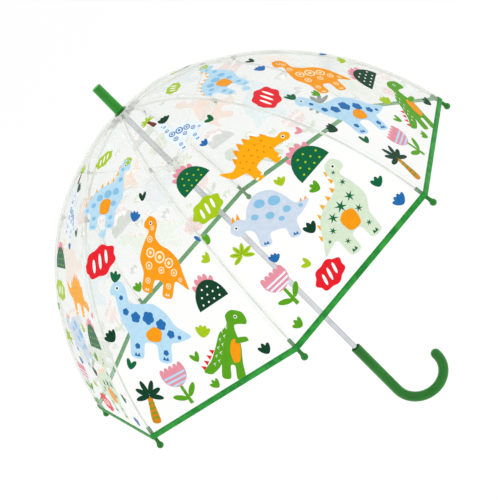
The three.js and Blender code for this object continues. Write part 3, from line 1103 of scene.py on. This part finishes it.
low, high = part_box("crown")
hub_r, hub_bore = 12 * MM, 4.3 * MM
hub_profile = [
    (hub_bore, low[2]), (hub_r - 0.6 * MM, low[2]), (hub_r, low[2] + 0.6 * MM),
    (hub_r, high[2] - 0.5 * MM), (hub_r - 0.5 * MM, high[2]), (hub_bore, high[2]),
]
hub = lathe("crown_hub", hub_profile, white)
notch_centre, notch_size = (11.5 * MM, 0, CROWN_Z - 2.5 * MM), (9.4 * MM, 3 * MM, 10.9 * MM)
cut_boxes(hub, [(notch_centre, notch_size, i * STEP) for i in range(RIBS)])
root_piece(hub, "crown")

low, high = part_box("runner")
runner_bottom, runner_top = low[2], high[2]
flange_low = runner_top - 8 * MM
runner_profile = [
    (4.3 * MM, runner_bottom), (7.8 * MM, runner_bottom), (8.4 * MM, runner_bottom + 0.6 * MM),
    (8.4 * MM, runner_bottom + 4.4 * MM), (7.9 * MM, runner_bottom + 5.4 * MM),
    (7.2 * MM, runner_bottom + 7 * MM),
]
for k in range(5):
    groove = runner_bottom + (11 + 4 * k) * MM
    runner_profile += [(7.2 * MM, groove), (6.85 * MM, groove + 0.5 * MM), (6.85 * MM, groove + 1.3 * MM),
                       (7.2 * MM, groove + 1.8 * MM)]
runner_profile += [
    (7.2 * MM, flange_low), (12 * MM, flange_low), (12.5 * MM, flange_low + 0.5 * MM),
    (12.5 * MM, runner_top - 0.5 * MM), (12 * MM, runner_top), (4.3 * MM, runner_top),
]
runner = lathe("runner_sleeve", runner_profile, white)
pivot_z = runner_top - 4 * MM
runner_cuts = [((12.7 * MM, 0, pivot_z), (10 * MM, 3 * MM, 12 * MM), i * STEP) for i in range(RIBS)]
runner_cuts.append(((0, 5.2 * MM, pivot_z - 19 * MM), (3.2 * MM, 2.4 * MM, 60 * MM), 0.0))
cut_boxes(runner, runner_cuts)
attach(runner, "runner")
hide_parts("runner")

# ---------------------------------------------------------------- handle

low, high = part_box("handle")
grip_top, grip_low = high[2], low[2] + GRIP_R + HOOK_R
straight = grip_top - grip_low
tail = 4 * MM


def hook_at(s):
    if s <= straight:
        return Vector((0, 0, grip_top - s)), Vector((1, 0, 0))
    turn = min((s - straight) / HOOK_R, math.pi)
    past = max(0.0, s - straight - math.pi * HOOK_R)
    spot = Vector((HOOK_R * (1 - math.cos(turn)), 0, grip_low - HOOK_R * math.sin(turn) + past))
    return spot, Vector((math.cos(turn), 0, math.sin(turn)))


def handle_grip():
    """Hooked grip: a lip and a socket round the tube, a groove round it below the lip, and a round end."""
    length = straight + math.pi * HOOK_R + tail
    stations = [(0.0, GRIP_R - 0.9 * MM), (0.25 * MM, GRIP_R - 0.25 * MM), (0.9 * MM, GRIP_R)]
    groove = GRIP_R - 0.35 * MM
    stations += [(3.6 * MM, GRIP_R), (4.0 * MM, groove), (4.8 * MM, groove), (5.2 * MM, GRIP_R)]
    stations += [(5.2 * MM + (length - 5.2 * MM) * k / 150, GRIP_R) for k in range(1, 151)]
    end = GRIP_R * 0.98
    points, normals, radii = [], [], []
    for s, r in stations:
        p, n = hook_at(s)
        points.append(p)
        normals.append(n)
        radii.append(r)
    last, last_n = hook_at(length)
    for k in range(1, 12):
        a = math.pi / 2 * k / 12
        points.append(last + Vector((0, 0, end * math.sin(a))))
        normals.append(last_n)
        radii.append(end * math.cos(a))
    bm = bmesh.new()
    socket = [(4.3 * MM, -62 * MM), (4.3 * MM, -6 * MM), (6 * MM, -5.4 * MM), (6 * MM, -0.5 * MM)]
    lead = []
    for r, z in socket:
        angles = [2 * math.pi * k / 48 for k in range(48)]
        lead.append([Vector((r * math.cos(a), r * math.sin(a), grip_top + z)) for a in angles])
    rings = sweep_rings(points, normals, lambda i: radii[i], 48)
    loft(bm, lead + rings)
    bmesh.ops.recalc_face_normals(bm, faces=bm.faces)
    return mesh_object("handle_grip", bm, [green])


root_piece(handle_grip(), "handle")

# ---------------------------------------------------------------- CAD pieces that keep their shape

for node, obj in frame["nodes"].items():
    if node in ("crown_wire", "top_catch", "bottom_catch") or node.startswith("stretcher_"):
        for index in range(len(obj.material_slots)):
            obj.material_slots[index].link = "OBJECT"
            obj.material_slots[index].material = lacquer if node.startswith("stretcher_") else steel
        soften(obj, 0.18 * MM)

# ---------------------------------------------------------------- stage, light and camera


def stage_floor():
    bm = bmesh.new()
    bmesh.ops.create_grid(bm, x_segments=1, y_segments=1, size=30)
    floor = mesh_object("floor", bm, [], smooth=False)
    floor.location.z = cad_box[0][2] - 0.3
    mat, tree, bsdf = shader("floor_paper", Roughness=0.95, Specular_IOR_Level=0.0)
    bsdf.inputs["Base Color"].default_value = linear((254, 254, 254))
    floor.data.materials.append(mat)


def soft_light(name, place, size, power):
    data = bpy.data.lights.new(name, "AREA")
    data.shape, data.size, data.energy = "DISK", size, power
    lamp = bpy.data.objects.new(name, data)
    lamp.location = place
    aim = Vector((0, 0, CROWN_Z - 0.2)) - Vector(place)
    lamp.rotation_euler = aim.to_track_quat("-Z", "Y").to_euler()
    bpy.context.scene.collection.objects.link(lamp)


def white_world():
    world = bpy.data.worlds.new("studio")
    world.use_nodes = True
    world.node_tree.nodes["Background"].inputs["Color"].default_value = (1, 1, 1, 1)
    world.node_tree.nodes["Background"].inputs["Strength"].default_value = 1.0
    bpy.context.scene.world = world


def camera():
    """The camera looks slightly down from the front, rolled so that the shaft lies diagonally."""
    azimuth, elevation, roll = (math.radians(a) for a in (9.163, 17.857, -45.027))
    distance, aside, above, lens = 1.86487, -0.17581, 0.18775, 97.046
    back = Vector((
        math.sin(azimuth) * math.cos(elevation),
        -math.cos(azimuth) * math.cos(elevation),
        math.sin(elevation),
    ))
    level = Vector((math.cos(azimuth), math.sin(azimuth), 0))
    upward = back.cross(level)
    right = level * math.cos(roll) + upward * math.sin(roll)
    up = upward * math.cos(roll) - level * math.sin(roll)
    data = bpy.data.cameras.new("camera")
    data.lens, data.sensor_width, data.clip_end = lens, 36.0, 100.0
    cam = bpy.data.objects.new("camera", data)
    place = Vector((0, 0, CROWN_Z)) + back * distance - right * aside - up * above
    cam.matrix_world = Matrix.Translation(place) @ Matrix((right, up, back)).transposed().to_4x4()
    bpy.context.scene.collection.objects.link(cam)
    bpy.context.scene.camera = cam


camera()
stage_floor()
white_world()
soft_light("key", (-1.6, -1.8, 2.6), 1.6, 14)
soft_light("fill", (2.2, -1.2, 1.2), 1.8, 6)
bpy.context.scene.view_settings.view_transform = "Standard"
